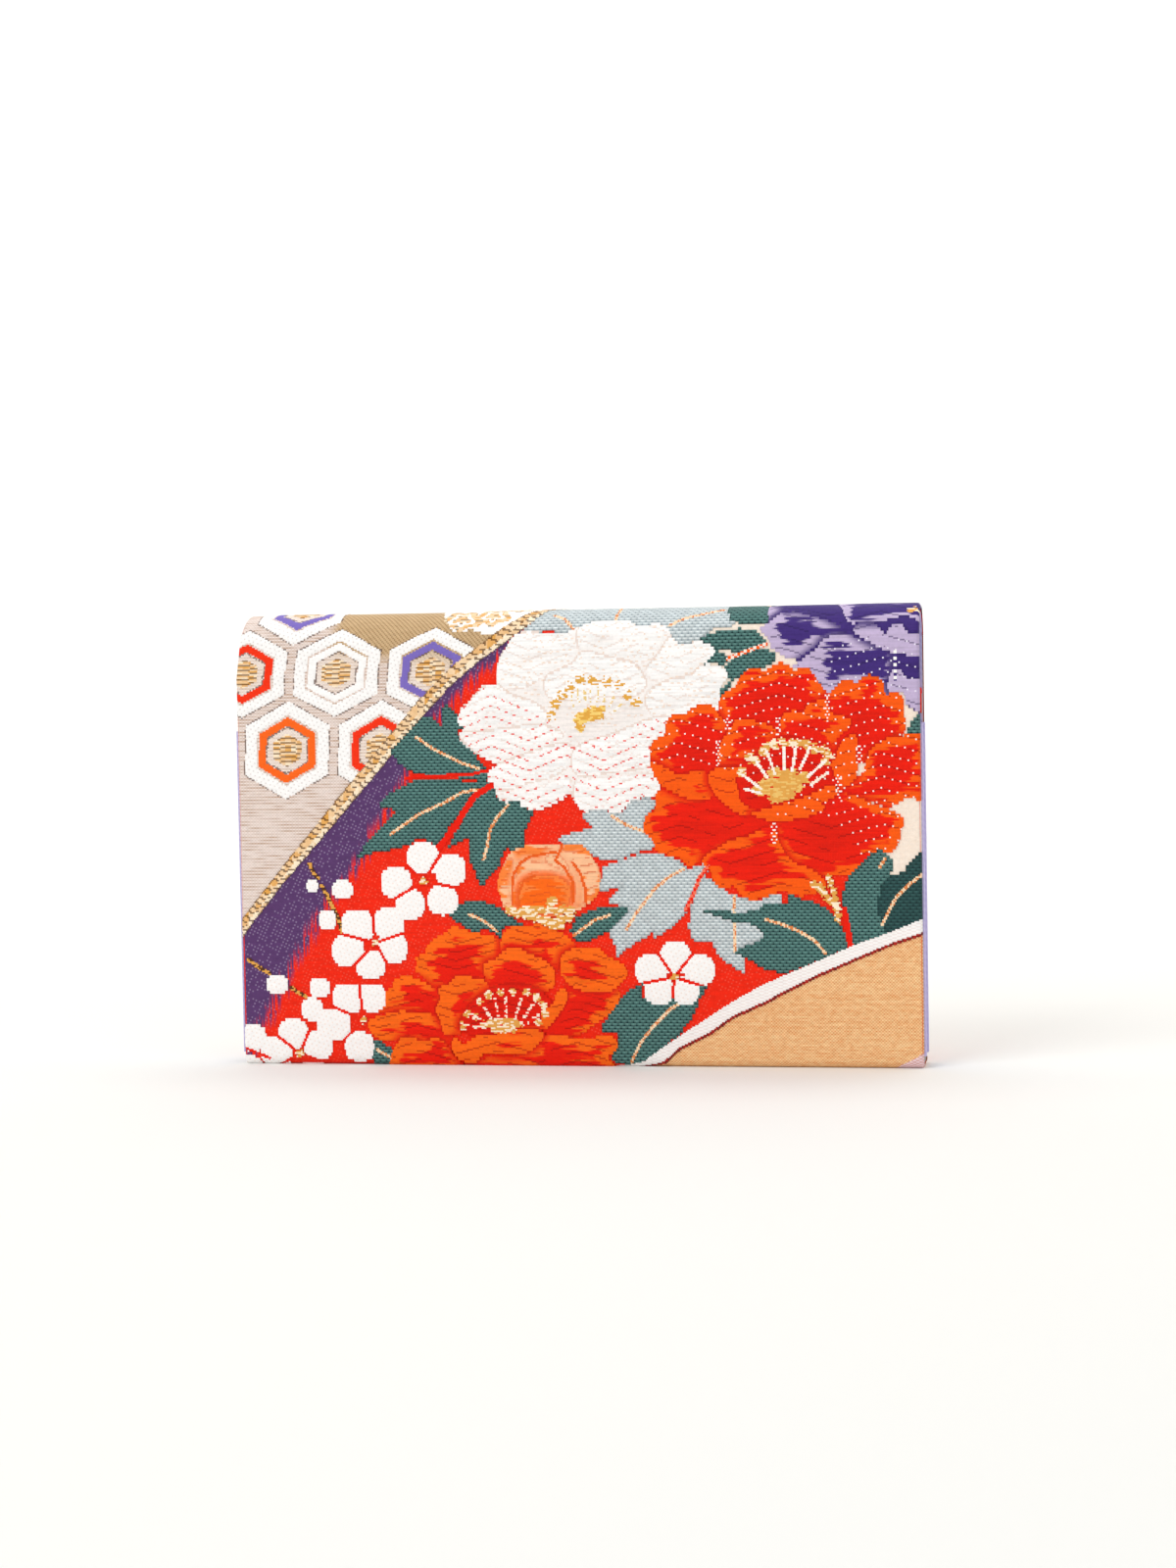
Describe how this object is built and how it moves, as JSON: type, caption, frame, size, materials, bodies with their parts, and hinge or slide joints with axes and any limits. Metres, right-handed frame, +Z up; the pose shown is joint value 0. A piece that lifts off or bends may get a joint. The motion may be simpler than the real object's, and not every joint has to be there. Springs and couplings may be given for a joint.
{
  "type": "brocade clutch bag",
  "caption": "Flat envelope clutch bag of woven silk brocade with a round top fold, a flap over the pocket panel and lavender gussets and lining.",
  "frame": {"origin": "middle of the flat base, at the lowest point", "axes": "+Z up, back panel with the woven picture facing -Y, flap facing +Y, +X along the width"},
  "size_m": [0.2212, 0.022, 0.145],
  "materials": {
    "brocade": "woven silk brocade, satin ground with raised figures",
    "lining": "smooth plain silk, lavender",
    "board": "stiff greyboard",
    "magnet": "plated disc",
    "white_silk": "woven silk floats, white",
    "red_silk": "woven silk floats, red and orange",
    "purple_silk": "woven silk floats, purple",
    "teal_silk": "woven silk floats, dark teal",
    "pale_silk": "woven silk floats, pale blue grey",
    "gold_thread": "gold wrapped thread",
    "tan_silk": "ribbed silk ground, tan"
  },
  "bodies": {
    "bag": {"body_brocade": "brocade", "back_board": "board", "base_board": "board", "pocket_board": "board", "pocket_magnet": "magnet", "body_lining": "lining", "gusset_left": "lining", "gusset_right": "lining", "slip_pocket": "lining", "weave_arc": "white_silk", "weave_cord": "gold_thread", "weave_cream_field": "white_silk", "weave_hexagon_field": "tan_silk", "weave_leaf_by_bud_left": "teal_silk", "weave_leaf_by_bud_right": "teal_silk", "weave_leaf_foot": "teal_silk", "weave_leaf_left": "teal_silk", "weave_leaf_lower_left": "teal_silk", "weave_leaf_pale_low": "pale_silk", "weave_leaf_pale_middle": "pale_silk", "weave_leaf_pale_right": "pale_silk", "weave_leaf_right_edge": "teal_silk", "weave_leaf_right_long": "teal_silk", "weave_leaf_right_up": "teal_silk", "weave_leaf_top": "teal_silk", "weave_leaf_upper_left": "teal_silk", "weave_peony_bud": "red_silk", "weave_peony_purple": "purple_silk", "weave_peony_red_left": "red_silk", "weave_peony_red_right": "red_silk", "weave_peony_white": "white_silk", "weave_plum_bud_1": "white_silk", "weave_plum_bud_2": "white_silk", "weave_plum_bud_3": "white_silk", "weave_plum_bud_4": "white_silk", "weave_plum_foot": "white_silk", "weave_plum_foot_left": "white_silk", "weave_plum_middle": "white_silk", "weave_plum_right": "white_silk", "weave_plum_upper": "white_silk", "weave_purple_band": "purple_silk", "weave_tan_field": "tan_silk"},
    "flap": {"flap_brocade": "brocade", "flap_board": "board", "flap_magnet": "magnet", "flap_lining": "lining", "weave_flap_cord": "gold_thread", "weave_flap_plum_1": "white_silk", "weave_flap_plum_2": "white_silk", "weave_flap_plum_3": "white_silk"}
  },
  "joints": [
    {"name": "flap_fold", "type": "hinge", "parent": "bag", "child": "flap", "pos_m": [0, 0, 0.1452], "axis": [1, 0, 0], "range_deg": [0, 175]}
  ]
}
